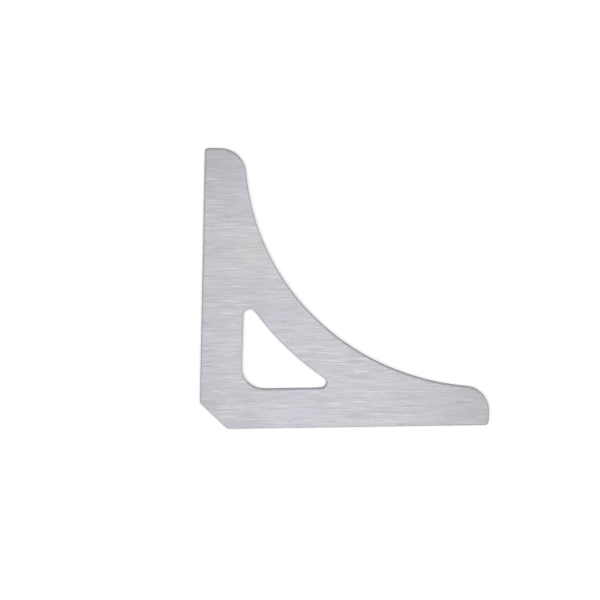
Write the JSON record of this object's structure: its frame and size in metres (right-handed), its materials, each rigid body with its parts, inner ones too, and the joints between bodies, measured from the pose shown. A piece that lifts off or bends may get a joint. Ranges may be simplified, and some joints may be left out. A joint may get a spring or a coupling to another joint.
{
  "type": "set-up square",
  "caption": "Flat brushed steel square: two equal legs at 90 degrees, a curved brace between them, a rounded triangular window and a clipped outer corner.",
  "frame": {"origin": "middle of the 76.2 mm by 76.2 mm footprint, on the face that the square lies on; the virtual corner where the two reference edges would meet is at (-0.0381, -0.0381, 0)", "axes": "+Z out of the upper face; -Y out of the reference edge of the leg that runs along X; -X out of the reference edge of the leg that runs along Y"},
  "size_m": [0.0762, 0.0762, 0.0015],
  "materials": {
    "plate": "brushed in straight lines along +X, with plain deburred edges"
  },
  "bodies": {
    "root": {"plate": "plate"}
  },
  "joints": []
}
